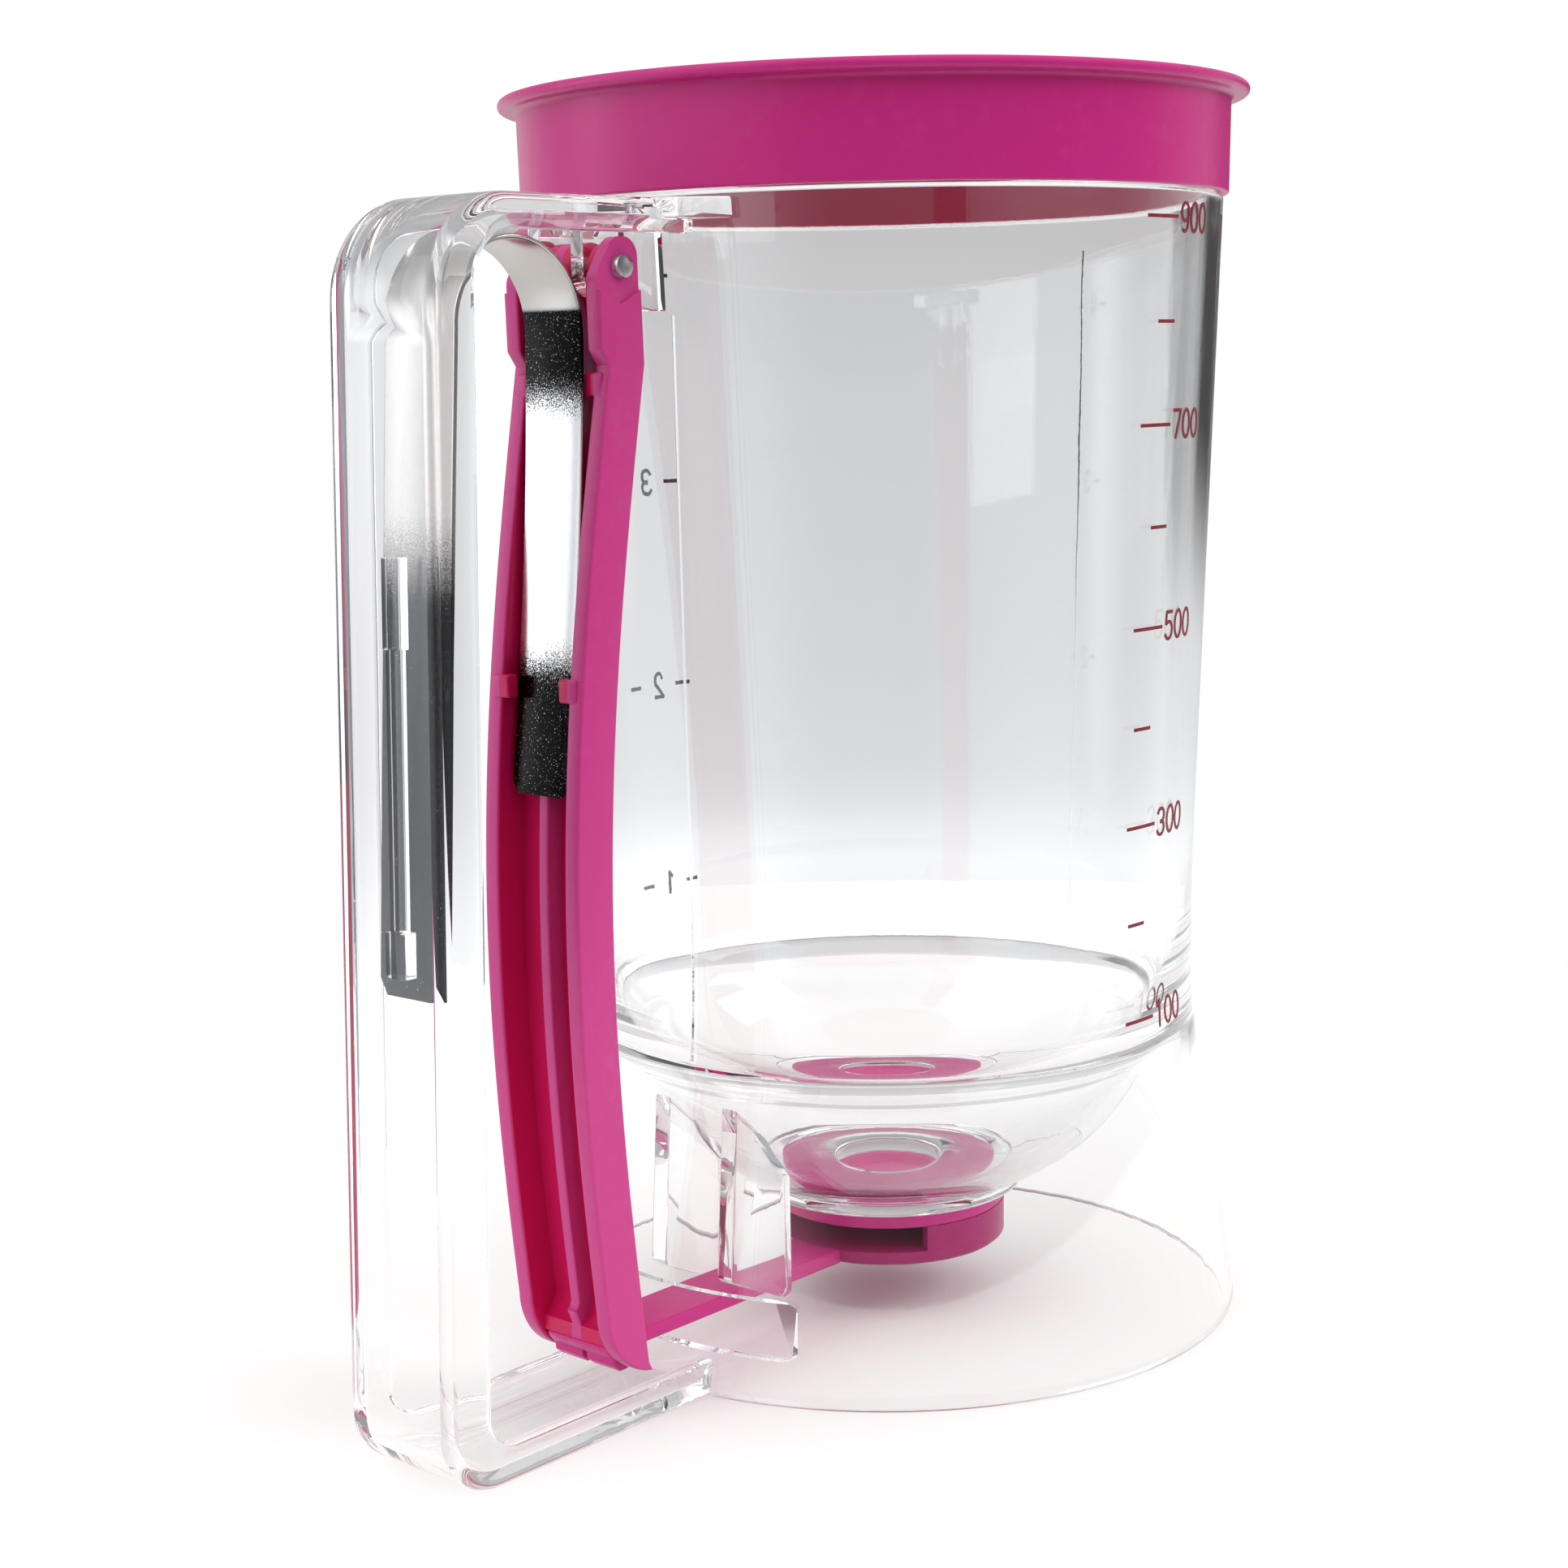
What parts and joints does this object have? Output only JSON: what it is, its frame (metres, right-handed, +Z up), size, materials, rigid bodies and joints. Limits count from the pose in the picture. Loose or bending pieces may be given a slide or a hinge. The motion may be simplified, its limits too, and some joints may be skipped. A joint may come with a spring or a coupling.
{
  "type": "batter dispenser",
  "caption": "Clear measuring hopper on a flared stand, with a D-shaped handle, a sprung trigger lever that opens a round valve under the outlet, and a lift-off lid.",
  "frame": {"origin": "On the table plane, at the middle of the footprint's bounding box; the hopper axis stands 23.4 mm towards +X of it.", "axes": "+Z up along the hopper axis; the handle and trigger are on the -X side; +Y is across the handle, away from the side with the millilitre scale."},
  "size_m": [0.159, 0.1122, 0.186],
  "materials": {
    "clear_plastic": "clear moulded plastic, polished",
    "pink_plastic": "opaque hot pink, satin gloss",
    "spring_steel": "bright spring strip, finely grained",
    "pin_steel": "satin",
    "red_print": "printed ink",
    "black_print": "printed ink"
  },
  "bodies": {
    "container": {"hopper": "clear_plastic", "hopper_rim": "clear_plastic", "funnel": "clear_plastic", "outlet_boss": "clear_plastic", "stand": "clear_plastic", "guide_plate_left": "clear_plastic", "guide_plate_right": "clear_plastic", "rim_collar": "clear_plastic", "hinge_bracket": "clear_plastic", "handle_top_arm": "clear_plastic", "handle_grip": "clear_plastic", "handle_foot_arm": "clear_plastic", "spring_rib": "clear_plastic", "leaf_spring": "spring_steel", "scale_ml": "red_print", "scale_cups": "black_print"},
    "trigger": {"lever": "pink_plastic", "lever_rib": "pink_plastic", "hinge_pin": "pin_steel", "valve_arm": "pink_plastic", "valve_cup": "pink_plastic", "valve_disc": "pink_plastic"},
    "lid": {"lid_top": "pink_plastic", "lid_skirt": "pink_plastic"}
  },
  "joints": [
    {"name": "trigger_hinge", "type": "hinge", "parent": "container", "child": "trigger", "pos_m": [-0.04, 0, 0.1599], "axis": [0, 1, 0], "range_deg": [0, 5.4], "stiffness_Nm_per_rad": 1.5, "springref_deg": -8.59, "deforming": ["leaf_spring"]},
    {"name": "lid_lift", "type": "slide", "parent": "container", "child": "lid", "axis": [0, 0, 1], "range_m": [0, 0.06]}
  ]
}
